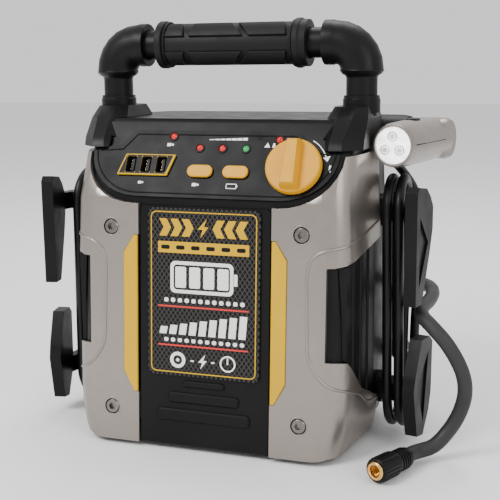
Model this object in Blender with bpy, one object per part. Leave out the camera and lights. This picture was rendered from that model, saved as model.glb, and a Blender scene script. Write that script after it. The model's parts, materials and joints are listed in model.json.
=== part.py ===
"""Jump starter pack: a carry case with handle, side torch, cable cleats, clamps and an air hose.

Front of the pack faces -Y, +X is to the right seen from the front, +Z is up.
The origin is on the flat underside, below the handle's plane. Units are metres.
"""
import math

import bmesh
import bpy
from mathutils import Matrix, Vector

MM = 0.001
GAP = 0.3 * MM

# Driving dimensions
WALL = 3 * MM
FLOOR_Z = 8 * MM
TOP_SLIM = 4 * MM
TUCK = 10 * MM
TUCK_Z = 52 * MM
SIDE_HALF_W = 113.5 * MM
SIDE_Y = (-4 * MM, 40 * MM)
FLARE = 0.149
REAR_HALF_W = 97 * MM
SHELL_BACK_Y = 84 * MM
SEAM_Y = 60 * MM
CORNER_R = 16 * MM
BASE_TOP_Z = 30 * MM
TAPER_Z = 160 * MM
PANEL_LOW_Z = 199 * MM
TOP_Z = 257 * MM
FRONT_Y0 = -84.1 * MM
FRONT_LEAN = math.atan(0.0625)
PANEL_LEAN = math.radians(28)
COVER_T = 4.3 * MM

COVER_BACK = 2 * MM
WINDOW_X = 93.5 * MM
SCREW_X = 75 * MM
SCREW_HEIGHTS = (38 * MM, 178 * MM)
KNOB_U = 65 * MM
KNOB_V = 27 * MM
BUTTON_U = (-7 * MM, 21 * MM)
BUTTON_V = 22 * MM
BUTTON_HALF_U = 10 * MM
BUTTON_HALF_V = 4.8 * MM
BUTTON_GAP = 0.6 * MM
LED_PLACES = ((-33 * MM, 50 * MM, "red_lens"), (-10.5 * MM, 41 * MM, "red_lens"), (7.5 * MM, 41 * MM, "red_lens"),
              (26 * MM, 41 * MM, "green_lens"), (51 * MM, 48.5 * MM, "red_lens"))

HANDLE_X = 101 * MM
HANDLE_Z = 313 * MM
TUBE_R = 11.8 * MM
ELBOW_R = 14.8 * MM
ELBOW_BEND = 20 * MM
RISER_RING_R = 14.1 * MM
GRIP_HALF = 61 * MM
GRIP_R = 18.2 * MM

TORCH_YAW = math.radians(12)
TORCH_R = 16.5 * MM
TORCH_REACH = 82 * MM
TORCH_PIVOT = (146 * MM, 60 * MM, 238 * MM)

CLEAT_Y = 8 * MM
CLEAT_YAW = math.radians(12)
CLEAT_TOP_Z = 186 * MM
CLEAT_LOW_Z = 44 * MM
CLEAT_INNER_X = 114 * MM
CLEAT_PLATE_X = 156.5 * MM
CLEAT_PLATE_T = 9.5 * MM
CABLE_D = 7.6 * MM
GLAND_X = 121 * MM
GLAND_Y = 65 * MM
GLAND_Z = 60 * MM
CABLE_LOOP_R = 25 * MM
HOSE_D = 11 * MM
HOSE_STEP = 14 * MM

USB_U = -51 * MM
USB_V = 26 * MM
USB_DEPTH = 7.5 * MM
SOCKET_X = -72 * MM
SOCKET_Z = 76 * MM
SOCKET_DEPTH = 20.5 * MM
SOCKET_R = 10.5 * MM
CAP_R = 14 * MM
CAP_HINGE_Y = 87 * MM
CAP_HINGE_RISE = 15 * MM
ROCKER_X = 38 * MM
ROCKER_Z = 62 * MM
ROCKER_AXIS_Y = 85.5 * MM
GAUGE_Z = 176 * MM
GAUGE_R = 24 * MM
CLAMP_X = 74 * MM
CLAMP_Y = 99 * MM
CLAMP_Z = 186 * MM

HOSE_ROUTE = [(14, 97, 42), (2, 97, 42), (-22, 98, 45), (-40, 98, 58), (-46, 98, 78), (-38, 99, 98),
              (-18, 100, 110), (8, 101, 113), (38, 102, 113), (68, 102, 113), (94, 100, 114), (116, 92, 115),
              (133, 76, 116), (146, 60, 116), (152, 38, 116), (153, 10, 116), (152, -14, 116), (155, -30, 114),
              (164, -40, 109), (176, -43, 97), (186.5, -41, 77), (188.5, -38.5, 61), (184, -36, 43),
              (175.5, -38, 28), (167, -44, 19.5), (158.7, -49, 17.2), (153.8, -56.4, 17.4), (151.2, -63.8, 17.4)]
HOSE_ROUTE = [(x * MM, y * MM, z * MM) for x, y, z in HOSE_ROUTE]

PALETTE = {
    "black_plastic": ((0.022, 0.022, 0.024), 0.45, 0.0),
    "panel_plastic": ((0.012, 0.012, 0.013), 0.35, 0.0),
    "silver_cover": ((0.52, 0.48, 0.44), 0.38, 0.6),
    "yellow_plastic": ((0.92, 0.56, 0.02), 0.4, 0.0),
    "amber_button": ((0.87, 0.42, 0.03), 0.38, 0.0),
    "grip_rubber": ((0.03, 0.03, 0.032), 0.65, 0.0),
    "label_film": ((0.015, 0.014, 0.014), 0.3, 0.0),
    "steel_screw": ((0.45, 0.42, 0.39), 0.32, 1.0),
    "cable_rubber": ((0.02, 0.02, 0.021), 0.4, 0.0),
    "hose_rubber": ((0.06, 0.058, 0.056), 0.55, 0.0),
    "brass": ((0.75, 0.48, 0.18), 0.28, 1.0),
    "red_lens": ((0.6, 0.02, 0.02), 0.15, 0.0),
    "green_lens": ((0.02, 0.35, 0.08), 0.15, 0.0),
    "torch_lens": ((0.95, 0.97, 1.0), 0.08, 0.0),
    "dial_face": ((0.85, 0.85, 0.82), 0.4, 0.0),
    "battery_case": ((0.1, 0.11, 0.13), 0.5, 0.0),
    "motor_steel": ((0.4, 0.4, 0.42), 0.35, 1.0),
    "board_green": ((0.02, 0.16, 0.06), 0.4, 0.0),
}


def clear_scene():
    for obj in list(bpy.data.objects):
        bpy.data.objects.remove(obj, do_unlink=True)


def material(name):
    if name in bpy.data.materials:
        return bpy.data.materials[name]
    mat = bpy.data.materials.new(name)
    mat.use_nodes = True
    shader = mat.node_tree.nodes["Principled BSDF"]
    colour, roughness, metallic = PALETTE[name]
    shader.inputs["Base Color"].default_value = (*colour, 1.0)
    shader.inputs["Roughness"].default_value = roughness
    shader.inputs["Metallic"].default_value = metallic
    return mat


def set_origin(obj, point):
    """Moves an object's origin to a point, leaving its shape where it is."""
    obj.data.transform(Matrix.Translation(-Vector(point)) @ obj.matrix_world)
    obj.matrix_world = Matrix.Translation(point)


def mesh_object(name, verts, faces, mat=None, matrix=None):
    mesh = bpy.data.meshes.new(name)
    mesh.from_pydata([tuple(v) for v in verts], [], faces)
    bm = bmesh.new()
    bm.from_mesh(mesh)
    bmesh.ops.recalc_face_normals(bm, faces=bm.faces)
    bm.to_mesh(mesh)
    bm.free()
    obj = bpy.data.objects.new(name, mesh)
    bpy.context.scene.collection.objects.link(obj)
    if mat:
        mesh.materials.append(material(mat))
    if matrix is not None:
        obj.matrix_world = matrix
    mesh.shade_smooth()
    mesh.set_sharp_from_angle(angle=math.radians(35))
    return obj


def frame_matrix(origin, right, up):
    """A local frame whose X is right, Y is up and Z is the outward normal."""
    x_axis = Vector(right).normalized()
    y_axis = Vector(up).normalized()
    z_axis = x_axis.cross(y_axis)
    rows = Matrix((x_axis, y_axis, z_axis)).transposed().to_4x4()
    return Matrix.Translation(Vector(origin)) @ rows


def loft(name, loops, mat=None, matrix=None):
    """Skin between closed loops of equal length, with flat ends."""
    count = len(loops[0])
    verts = [p for loop in loops for p in loop]
    faces = [tuple(reversed(range(count)))]
    for level in range(len(loops) - 1):
        low = level * count
        for i in range(count):
            j = (i + 1) % count
            faces.append((low + i, low + j, low + count + j, low + count + i))
    top = (len(loops) - 1) * count
    faces.append(tuple(range(top, top + count)))
    return mesh_object(name, verts, faces, mat, matrix)


def slab(name, outline, low, high, mat=None, matrix=None, bevel=0.0, segments=2):
    """A flat outline in a frame's X and Y, from low to high along its Z."""
    loops = [[(u, v, h) for u, v in outline] for h in (low, high)]
    obj = loft(name, loops, mat, matrix)
    if bevel:
        add_bevel(obj, bevel, segments)
    return obj


def box(name, low, high, mat=None, matrix=None, bevel=0.0, segments=2):
    outline = [(low[0], low[1]), (high[0], low[1]), (high[0], high[1]), (low[0], high[1])]
    return slab(name, outline, low[2], high[2], mat, matrix, bevel, segments)


def add_bevel(obj, width, segments=2, angle=40):
    mod = obj.modifiers.new("Bevel", "BEVEL")
    mod.width = width
    mod.segments = segments
    mod.limit_method = "ANGLE"
    mod.angle_limit = math.radians(angle)


def turned(name, profile, mat=None, matrix=None, steps=24):
    """A solid of revolution about a frame's Z from (radius, height) points, closed on its axis."""
    verts = []
    rings = []
    for radius, height in profile:
        if radius < 1e-7:
            rings.append([len(verts)])
            verts.append((0, 0, height))
            continue
        ring = []
        for k in range(steps):
            angle = 2 * math.pi * k / steps
            ring.append(len(verts))
            verts.append((radius * math.cos(angle), radius * math.sin(angle), height))
        rings.append(ring)
    faces = []
    on_axis = len(rings[0]) == 1 and len(rings[-1]) == 1
    pairs = list(zip(rings, rings[1:])) if on_axis else list(zip(rings, rings[1:] + rings[:1]))
    for a, b in pairs:
        for k in range(steps):
            j = (k + 1) % steps
            if len(a) == 1:
                faces.append((a[0], b[j], b[k]))
            elif len(b) == 1:
                faces.append((a[k], a[j], b[0]))
            else:
                faces.append((a[k], a[j], b[j], b[k]))
    return mesh_object(name, verts, faces, mat, matrix)


def boolean(obj, cutter, operation="DIFFERENCE"):
    mod = obj.modifiers.new("Cut", "BOOLEAN")
    mod.operation = operation
    mod.object = cutter
    mod.solver = "EXACT"
    cutter.hide_render = True
    cutter.display_type = "WIRE"
    return obj


def arc_points(cx, cy, radius, start, end, steps):
    angles = [math.radians(start + (end - start) * k / steps) for k in range(steps + 1)]
    return [(cx + radius * math.cos(a), cy + radius * math.sin(a)) for a in angles]


def rounded_rect(x0, y0, x1, y1, radius, steps=3):
    points = arc_points(x1 - radius, y0 + radius, radius, -90, 0, steps)
    points += arc_points(x1 - radius, y1 - radius, radius, 0, 90, steps)
    points += arc_points(x0 + radius, y1 - radius, radius, 90, 180, steps)
    points += arc_points(x0 + radius, y0 + radius, radius, 180, 270, steps)
    return points


def smooth_route(points, spacing):
    """Even points along a centripetal Catmull-Rom curve through a route's own points."""
    pts = [Vector(p) for p in points]
    pts = [2 * pts[0] - pts[1]] + pts + [2 * pts[-1] - pts[-2]]
    dense = []
    for p0, p1, p2, p3 in zip(pts, pts[1:], pts[2:], pts[3:]):
        t1 = (p1 - p0).length ** 0.5
        t2 = t1 + (p2 - p1).length ** 0.5
        t3 = t2 + (p3 - p2).length ** 0.5
        for k in range(16):
            t = t1 + (t2 - t1) * k / 16
            a1 = p0.lerp(p1, t / t1)
            a2 = p1.lerp(p2, (t - t1) / (t2 - t1))
            a3 = p2.lerp(p3, (t - t2) / (t3 - t2))
            b1 = a1.lerp(a2, t / t2)
            b2 = a2.lerp(a3, (t - t1) / (t3 - t1))
            dense.append(b1.lerp(b2, (t - t1) / (t2 - t1)))
    dense.append(pts[-2])
    lengths = [0.0]
    for a, b in zip(dense, dense[1:]):
        lengths.append(lengths[-1] + (b - a).length)
    count = max(2, round(lengths[-1] / spacing))
    result = []
    i = 0
    for k in range(count + 1):
        target = lengths[-1] * k / count
        while i < len(dense) - 2 and lengths[i + 1] < target:
            i += 1
        span = lengths[i + 1] - lengths[i]
        result.append(dense[i].lerp(dense[i + 1], (target - lengths[i]) / span))
    return result


def cord_tube(name, route, diameter, mat, spacing):
    curve = bpy.data.curves.new(name, "CURVE")
    curve.dimensions = "3D"
    curve.bevel_depth = diameter / 2
    curve.bevel_resolution = 2
    curve.use_fill_caps = True
    points = smooth_route(route, spacing)
    spline = curve.splines.new("POLY")
    spline.points.add(len(points) - 1)
    for target, point in zip(spline.points, points):
        target.co = (*point, 1.0)
    curve.materials.append(material(mat))
    obj = bpy.data.objects.new(name, curve)
    bpy.context.scene.collection.objects.link(obj)
    return obj


# Body envelope
def front_y(z):
    return FRONT_Y0 + z * math.tan(FRONT_LEAN)


def shell_front_y(z):
    low = min(z, PANEL_LOW_Z)
    return front_y(low) + COVER_T + max(0.0, z - PANEL_LOW_Z) * math.tan(PANEL_LEAN)


def filleted(points, radii, steps):
    """Round the corners of a convex polygon that runs anticlockwise."""
    result = []
    for k, (x, y) in enumerate(points):
        corner = Vector((x, y))
        before = (Vector(points[k - 1]) - corner).normalized()
        after = (Vector(points[(k + 1) % len(points)]) - corner).normalized()
        half = before.angle(after) / 2
        centre = corner + (before + after).normalized() * (radii[k] / math.sin(half))
        start = corner + before * (radii[k] / math.tan(half)) - centre
        turn = math.pi - 2 * half
        for j in range(steps + 1):
            angle = turn * j / steps
            cos_a, sin_a = math.cos(angle), math.sin(angle)
            result.append((centre.x + start.x * cos_a - start.y * sin_a, centre.y + start.x * sin_a + start.y * cos_a))
    return result


def offset_polygon(points, grow):
    """Move each edge of a convex anticlockwise polygon outwards."""
    result = []
    for k, point in enumerate(points):
        corner = Vector(point)
        d0 = (corner - Vector(points[k - 1])).normalized()
        d1 = (Vector(points[(k + 1) % len(points)]) - corner).normalized()
        n0 = Vector((d0.y, -d0.x))
        n1 = Vector((d1.y, -d1.x))
        result.append(tuple(corner + (n0 + n1) * (grow / (1 + n0.dot(n1)))))
    return result


def body_outline(z, grow):
    """Plan of the case: a narrow front, sides that flare out to the middle, and a tapered back."""
    slim = max(0.0, z - TAPER_Z) / (TOP_Z - TAPER_Z) * TOP_SLIM
    slim += TUCK * (max(0.0, TUCK_Z - z) / TUCK_Z) ** 2
    wide = SIDE_HALF_W - slim
    half = wide + (shell_front_y(z) - SIDE_Y[0]) * FLARE
    right = [(half, shell_front_y(z)), (wide, SIDE_Y[0]), (wide, SIDE_Y[1]), (REAR_HALF_W - slim, SHELL_BACK_Y)]
    points = right + [(-x, y) for x, y in reversed(right)]
    radii = [CORNER_R, CORNER_R * 1.4, CORNER_R * 1.4, CORNER_R]
    radii = [r + grow for r in radii + radii[::-1]]
    return filleted(offset_polygon(points, grow), radii, 3)


def body_blank(name, grow, low, high, mat=None, crown=0.0):
    """The body's rounded outline grown outwards, between two heights."""
    inner = [z for z in (TUCK_Z * 0.4, TUCK_Z * 0.7, TUCK_Z, TAPER_Z, PANEL_LOW_Z) if low < z < high]
    loops = []
    levels = [(low, 0.0)] + [(z, 0.0) for z in inner]
    levels += [(high - crown, 0.0), (high, crown)] if crown else [(high, 0.0)]
    for z, inset in levels:
        loops.append([(x, y, z) for x, y in body_outline(z, grow - inset)])
    return loft(name, loops, mat)


def front_frame(x=0.0, v=0.0):
    up = (0, math.sin(FRONT_LEAN), math.cos(FRONT_LEAN))
    origin = Vector((x, FRONT_Y0, 0)) + Vector(up) * v
    return frame_matrix(origin, (1, 0, 0), up)


def panel_frame(x=0.0, v=0.0):
    up = Vector((0, math.sin(PANEL_LEAN), math.cos(PANEL_LEAN)))
    origin = Vector((x, front_y(PANEL_LOW_Z) + COVER_T, PANEL_LOW_Z)) + up * v
    return frame_matrix(origin, (1, 0, 0), up)


def panel_edge(grow=0.0):
    """Lower edge of the control panel: a shallow bowl, left to right, seen from the front."""
    flat = 56 * MM
    wide = 99 * MM + grow
    rise = 36 * MM
    points = []
    for k in range(9):
        angle = math.radians(90 * k / 8)
        points.append((-flat - (wide - flat) * math.cos(angle), rise * (1 - math.sin(angle)) - grow))
    return points + [(-x, v) for x, v in reversed(points)]


def build_shells():
    seam = 120 * MM
    front = body_blank("front_shell", 0, BASE_TOP_Z + GAP, TOP_Z, "black_plastic", 3 * MM)
    back_half = box("cut_back_half", (-seam, SEAM_Y, 0), (seam, seam * 2, TOP_Z * 1.2))
    hollow = body_blank("cut_front_hollow", -WALL, BASE_TOP_Z + GAP + WALL, TOP_Z - WALL)
    boolean(front, hollow)
    boolean(front, back_half)
    rear = body_blank("rear_shell", 0, BASE_TOP_Z + GAP, TOP_Z, "black_plastic", 3 * MM)
    front_half = box("cut_front_half", (-seam, -seam, 0), (seam, SEAM_Y + GAP, TOP_Z * 1.2))
    rear_hollow = body_blank("cut_rear_hollow", -WALL, BASE_TOP_Z + GAP + WALL, TOP_Z - WALL)
    boolean(rear, rear_hollow)
    boolean(rear, front_half)
    socket_frame = rear_frame(SOCKET_X, SOCKET_Z)
    wall_r = SOCKET_R + 2 * MM
    barrel = turned("socket_barrel", [(0, -SOCKET_DEPTH - 2.5 * MM), (wall_r, -SOCKET_DEPTH - 2.5 * MM),
                                      (wall_r, -1.5 * MM), (0, -1.5 * MM)], matrix=socket_frame)
    boolean(rear, barrel, "UNION")
    bore = turned("cut_socket", [(0, -SOCKET_DEPTH), (SOCKET_R, -SOCKET_DEPTH), (SOCKET_R, 30 * MM), (0, 30 * MM)],
                  matrix=socket_frame)
    boolean(rear, bore)
    knob_post = turned("cut_knob_post", [(0, -20 * MM), (4.3 * MM, -20 * MM), (4.3 * MM, 20 * MM), (0, 20 * MM)],
                       matrix=panel_frame(KNOB_U, KNOB_V))
    boolean(front, knob_post)
    boolean(front, usb_room("cut_usb_shell"))
    build_base()


def build_base():
    levels = [(FLOOR_Z, 9 * MM), (FLOOR_Z + 2 * MM, 7 * MM), (18 * MM, 1.6 * MM), (BASE_TOP_Z, 0.6 * MM)]
    loops = []
    for z, inset in levels:
        loops.append([(x, y, z) for x, y in body_outline(z, 1.8 * MM - inset)])
    base = loft("base_moulding", loops, "black_plastic")
    inner = body_blank("cut_base_hollow", -6 * MM, FLOOR_Z + 4 * MM, BASE_TOP_Z + 5 * MM)
    boolean(base, inner)
    strip_room = slab("cut_base_front", [(-52.2 * MM, 11.6 * MM), (52.2 * MM, 11.6 * MM), (52.2 * MM, 60 * MM),
                                         (-52.2 * MM, 60 * MM)], -COVER_T + GAP, 9 * MM, matrix=front_frame())
    boolean(base, strip_room)


def rear_frame(x, z, out=0.0):
    """A frame on the back, X to the viewer's right from behind, Z pointing back."""
    return frame_matrix((x, SHELL_BACK_Y + out, z), (-1, 0, 0), (0, 0, 1))


def cover_front_outline(side):
    """A cover's outline seen from the front, from its inner edge out past the side."""
    inner = 52.5 * MM
    far = 130 * MM
    low = 12 * MM
    edge = [(x, PANEL_LOW_Z + v) for x, v in panel_edge(2.2 * MM) if x > 0]
    points = [(inner, low), (88 * MM, low), (97 * MM, low + 1.5 * MM), (far, low + 2 * MM)]
    points += [(far, 235 * MM)] + [(x, z - 1 * MM) for x, z in reversed(edge)] + [(inner, PANEL_LOW_Z - 3 * MM)]
    return [(side * x, z) for x, z in points]


def window_outline(side, shrink=0.0):
    """Side view of a cover's window, from its open back round its angled front corners."""
    points = [(20, 40), (-6, 42), (-40, 58), (-66, 84), (-96, 90), (-96, 151), (-63, 156), (-4, 167.5), (20, 168)]
    return [(side * y, z) for y, z in offset_polygon([(y * MM, z * MM) for y, z in points], shrink)]


def build_cover(side, label):
    cover = body_blank("cover_" + label, COVER_T, 11 * MM, 236 * MM, "silver_cover")
    inner = body_blank("cut_cover_inner_" + label, GAP, 5 * MM, 245 * MM)
    boolean(cover, inner)
    lower_block = body_blank("cut_cover_base_" + label, 1.9 * MM + GAP, 5 * MM, BASE_TOP_Z + GAP)
    boolean(cover, lower_block)
    xz = frame_matrix((0, 0, 0), (1, 0, 0), (0, 0, 1))
    region = slab("cut_cover_region_" + label, cover_front_outline(side), COVER_BACK, 160 * MM, matrix=xz)
    boolean(cover, region, "INTERSECT")
    yz = frame_matrix((side * WINDOW_X, 0, 0), (0, side, 0), (0, 0, 1))
    opening = slab("cut_window_" + label, window_outline(side), 0, 40 * MM, matrix=yz)
    boolean(cover, opening)
    slot = slab("cut_insert_slot_" + label, insert_outline(side, GAP), -10 * MM, 6 * MM, matrix=front_frame())
    boolean(cover, slot)
    for v in SCREW_HEIGHTS:
        well = turned("cut_screw_well_%s_%d" % (label, round(v * 1000)),
                      [(0, -10 * MM), (6.2 * MM, -10 * MM), (6.2 * MM, 4 * MM), (0, 4 * MM)],
                      matrix=front_frame(side * SCREW_X, v))
        boolean(cover, well)


def insert_outline(side, grow=0.0):
    """Yellow insert at a cover's inner edge: straight inside, clipped corners outside."""
    inner = 53 * MM - grow * 10
    outer = 64.5 * MM + grow
    points = [(inner, 52 * MM - grow), (inner, 172.5 * MM + grow), (56 * MM, 172.5 * MM + grow),
              (outer, 159 * MM + grow), (outer, 68 * MM - grow), (56 * MM, 52 * MM - grow)]
    return [(side * x, v) for x, v in points]


def build_screws():
    for k, (side, v) in enumerate([(s, v) for s in (-1, 1) for v in SCREW_HEIGHTS]):
        head = [(0, -COVER_T + 0.4 * MM), (5.6 * MM, -COVER_T + 0.4 * MM), (5.6 * MM, -0.3 * MM),
                (4.9 * MM, 0.4 * MM), (0, 0.4 * MM)]
        screw = turned("cover_screw_%d" % (k + 1), head, "steel_screw", front_frame(side * SCREW_X, v))
        key = turned("cut_key_%d" % (k + 1), [(0, -2.4 * MM), (2.9 * MM, -2.4 * MM), (2.9 * MM, 4 * MM), (0, 4 * MM)],
                     matrix=front_frame(side * SCREW_X, v), steps=6)
        boolean(screw, key)


def build_louvre(side, label):
    """Ribbed side panel seen through a cover's window, on the flared part of the side."""
    def side_x(y, out):
        return SIDE_HALF_W + (y - SIDE_Y[0]) * FLARE + out

    outline = [(side_x(-8 * MM, -5 * MM), -8 * MM), (side_x(-66 * MM, -5 * MM), -66 * MM)]
    y = -66 * MM
    for _ in range(4):
        for step, out in ((0, 2.4), (8.5, 2.4), (9.5, 1.0), (13.5, 1.0)):
            outline.append((side_x(y + step * MM, out * MM), y + step * MM))
        y += 14.5 * MM
    outline = [(side * x, yy) for x, yy in outline]
    louvre = slab("louvre_" + label, outline, 30 * MM, 175 * MM, "black_plastic")
    boolean(louvre, body_blank("cut_louvre_back_" + label, GAP, 20 * MM, 190 * MM))
    yz = frame_matrix((side * 80 * MM, 0, 0), (0, side, 0), (0, 0, 1))
    room = [(side * y, z) for y, z in window_outline(1, 1.0 * MM)]
    boolean(louvre, slab("cut_louvre_room_" + label, room, 0, 60 * MM, matrix=yz), "INTERSECT")


def build_front_trim():
    strip_frame = front_frame()
    strip = slab("centre_strip", rounded_rect(-51.9 * MM, 12 * MM, 51.9 * MM, 195 * MM, 3 * MM),
                 -COVER_T + GAP * 2, -1.6 * MM, "black_plastic", strip_frame, 0.6 * MM, 1)
    ribs = ((63.5 * MM, 17 * MM, 5 * MM), (54 * MM, 28.5 * MM, 8 * MM), (41 * MM, 37 * MM, 9.5 * MM))
    for k, (v, half, height) in enumerate(ribs):
        rib = slab("rib_%d" % k, rounded_rect(-half, v - height, half, v, 1.6 * MM, 1), -COVER_T + 1 * MM, 0.4 * MM,
                   matrix=strip_frame)
        add_bevel(rib, 1.1 * MM, 1)
        boolean(strip, rib, "UNION")
    slab("label_plate", rounded_rect(-44.5 * MM, 67 * MM, 44.5 * MM, 194 * MM, 4 * MM),
         -1.6 * MM + GAP, 0.3 * MM, "label_film", strip_frame, 0.4 * MM, 1)
    for side, label in ((-1, "left"), (1, "right")):
        slab("accent_insert_" + label, insert_outline(side), -1.6 * MM + GAP, 1.0 * MM, "yellow_plastic",
             strip_frame, 0.5 * MM, 1)


def build_panel():
    outline = panel_edge(-1.2 * MM)
    lip = 40 * MM
    inner = 66 * MM
    top = 55 * MM
    outline = outline + [(96 * MM, lip), (76 * MM, lip + 2 * MM), (inner, top), (-inner, top),
                         (-76 * MM, lip + 2 * MM), (-96 * MM, lip)]
    frame = panel_frame()
    panel = slab("control_panel", outline, GAP, 2.2 * MM, "panel_plastic", frame)
    holes = [(u, v, 2.9 * MM) for u, v, _ in LED_PLACES] + [(KNOB_U, KNOB_V, 4.3 * MM)]
    for k, (u, v, radius) in enumerate(holes):
        hole = turned("cut_panel_hole_%d" % k, [(0, -2 * MM), (radius, -2 * MM), (radius, 8 * MM), (0, 8 * MM)],
                      matrix=panel_frame(u, v), steps=16)
        boolean(panel, hole)
    boolean(panel, usb_room("cut_usb_panel"))
    for k, u in enumerate(BUTTON_U):
        well_u = BUTTON_HALF_U + BUTTON_GAP
        well_v = BUTTON_HALF_V + BUTTON_GAP
        well = slab("cut_button_well_%d" % k, rounded_rect(-well_u, -well_v, well_u, well_v, 5 * MM, 5),
                    0.9 * MM, 8 * MM, matrix=panel_frame(u, BUTTON_V))
        boolean(panel, well)


def build_panel_parts():
    for k, (u, v, mat) in enumerate(LED_PLACES):
        profile = [(0, 0.5 * MM), (2.5 * MM, 0.5 * MM), (2.5 * MM, 2.6 * MM), (1.6 * MM, 3.5 * MM), (0, 3.9 * MM)]
        turned("led_%d" % (k + 1), profile, mat, panel_frame(u, v), 16)
    for u, name in zip(BUTTON_U, ("usb_button", "battery_button")):
        slab(name, rounded_rect(-BUTTON_HALF_U, -BUTTON_HALF_V, BUTTON_HALF_U, BUTTON_HALF_V, 4.6 * MM, 5),
             2.4 * MM, 5.0 * MM, "amber_button", panel_frame(u, BUTTON_V), 0.9 * MM, 2)
    build_usb()
    build_knob()


def usb_room(name):
    """Cutter for the port block's way through the panel and the case."""
    return box(name, (-18.5 * MM, -8.1 * MM, -12 * MM), (18.5 * MM, 8.1 * MM, 6 * MM), matrix=panel_frame(USB_U, USB_V))


def build_usb():
    frame = panel_frame(USB_U, USB_V)
    lean = 2.5 * MM
    outline = [(-20.5 * MM - lean, -8.5 * MM), (20.5 * MM - lean, -8.5 * MM),
               (20.5 * MM + lean, 8.5 * MM), (-20.5 * MM + lean, 8.5 * MM)]
    bezel = slab("usb_bezel", outline, 2.2 * MM + GAP, 4.6 * MM, "yellow_plastic", frame, 0.7 * MM, 2)
    boolean(bezel, box("usb_body", (-18 * MM, -7.6 * MM, -USB_DEPTH - 1.2 * MM), (18 * MM, 7.6 * MM, 3.6 * MM),
                       matrix=frame), "UNION")
    for k in range(3):
        u = (-12.4 + 12.4 * k) * MM
        port = slab("cut_usb_%d" % k, rounded_rect(u - 4.3 * MM, -6.6 * MM, u + 4.3 * MM, 6.6 * MM, 1 * MM, 1),
                    -USB_DEPTH, 9 * MM, matrix=frame)
        boolean(bezel, port)


def build_knob():
    frame = panel_frame(KNOB_U, KNOB_V)
    profile = [(0, -8 * MM), (3.8 * MM, -8 * MM), (3.8 * MM, 2.2 * MM + GAP * 2), (20.5 * MM, 2.2 * MM + GAP * 2),
               (21 * MM, 3.2 * MM), (20.5 * MM, 7.5 * MM), (19.5 * MM, 8.5 * MM), (0, 8.5 * MM)]
    knob = turned("power_knob", profile, "amber_button", frame, 40)
    sections = []
    grip_levels = ((7 * MM, 6.8 * MM, 18.5 * MM), (14 * MM, 6.0 * MM, 18.0 * MM), (17 * MM, 4.6 * MM, 16.5 * MM))
    for h, half, length in grip_levels:
        sections.append([(-half, -length, h), (half, -length, h), (half * 0.8, length, h), (-half * 0.8, length, h)])
    grip = loft("knob_grip", sections, matrix=frame)
    boolean(knob, grip, "UNION")


def build_handle():
    axis_x = frame_matrix((0, 0, HANDLE_Z), (0, 1, 0), (0, 0, 1))
    span = HANDLE_X - ELBOW_R - 8 * MM
    turned("handle_tube", [(0, -span), (TUBE_R - 0.3 * MM, -span), (TUBE_R - 0.3 * MM, span), (0, span)],
           "black_plastic", axis_x, 32)
    bore = TUBE_R
    half = GRIP_HALF
    profile = [(bore, -half), (GRIP_R + 0.3 * MM, -half), (GRIP_R + 0.3 * MM, -half + 5 * MM),
               (GRIP_R - 2 * MM, -half + 6 * MM), (GRIP_R - 2 * MM, half - 11 * MM), (GRIP_R + 0.6 * MM, half - 10 * MM), (GRIP_R + 0.6 * MM, half - 6 * MM),
               (GRIP_R - 0.5 * MM, half - 5 * MM), (GRIP_R - 0.5 * MM, half), (bore, half)]
    turned("handle_grip", profile, "grip_rubber", axis_x, 32)
    for side, label in ((-1, "left"), (1, "right")):
        build_elbow(side, label)
        build_shroud(side, label)


def build_elbow(side, label):
    """A swept pipe bend with a socket at each end and the riser below it."""
    steps = 20
    bend_x = HANDLE_X - ELBOW_BEND
    bend_z = HANDLE_Z - ELBOW_BEND
    stations = [((HANDLE_X - ELBOW_R - 13.5 * MM, HANDLE_Z), (1, 0), ELBOW_R + 2 * MM),
                ((HANDLE_X - ELBOW_R - 6.5 * MM, HANDLE_Z), (1, 0), ELBOW_R + 2 * MM)]
    for k in range(7):
        angle = math.radians(90 - 15 * k)
        centre = (bend_x + ELBOW_BEND * math.cos(angle), bend_z + ELBOW_BEND * math.sin(angle))
        stations.append((centre, (math.sin(angle), -math.cos(angle)), ELBOW_R + 1.5 * MM))
    low = HANDLE_X, bend_z
    stations += [((low[0], low[1] - 1 * MM), (0, -1), ELBOW_R + 2 * MM),
                 ((low[0], low[1] - 3.5 * MM), (0, -1), ELBOW_R),
                 ((low[0], low[1] - 4.5 * MM), (0, -1), TUBE_R + 1 * MM),
                 ((low[0], low[1] - 6 * MM), (0, -1), TUBE_R),
                 ((low[0], 259 * MM), (0, -1), TUBE_R)]
    loops = []
    for (x, z), (dx, dz), radius in stations:
        loop = []
        for k in range(steps):
            angle = 2 * math.pi * k / steps
            out = radius * math.cos(angle)
            loop.append((side * (x + dz * out), radius * math.sin(angle), z - dx * out))
        loops.append(loop)
    elbow = loft("handle_elbow_" + label, loops, "black_plastic")
    span = HANDLE_X - ELBOW_R - 8 * MM + GAP
    seat = turned("cut_tube_seat_" + label, [(0, 0), (TUBE_R, 0), (TUBE_R, span), (0, span)],
                  matrix=frame_matrix((0, 0, HANDLE_Z), (0, side, 0), (0, 0, 1)), steps=32)
    boolean(elbow, seat)


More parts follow.
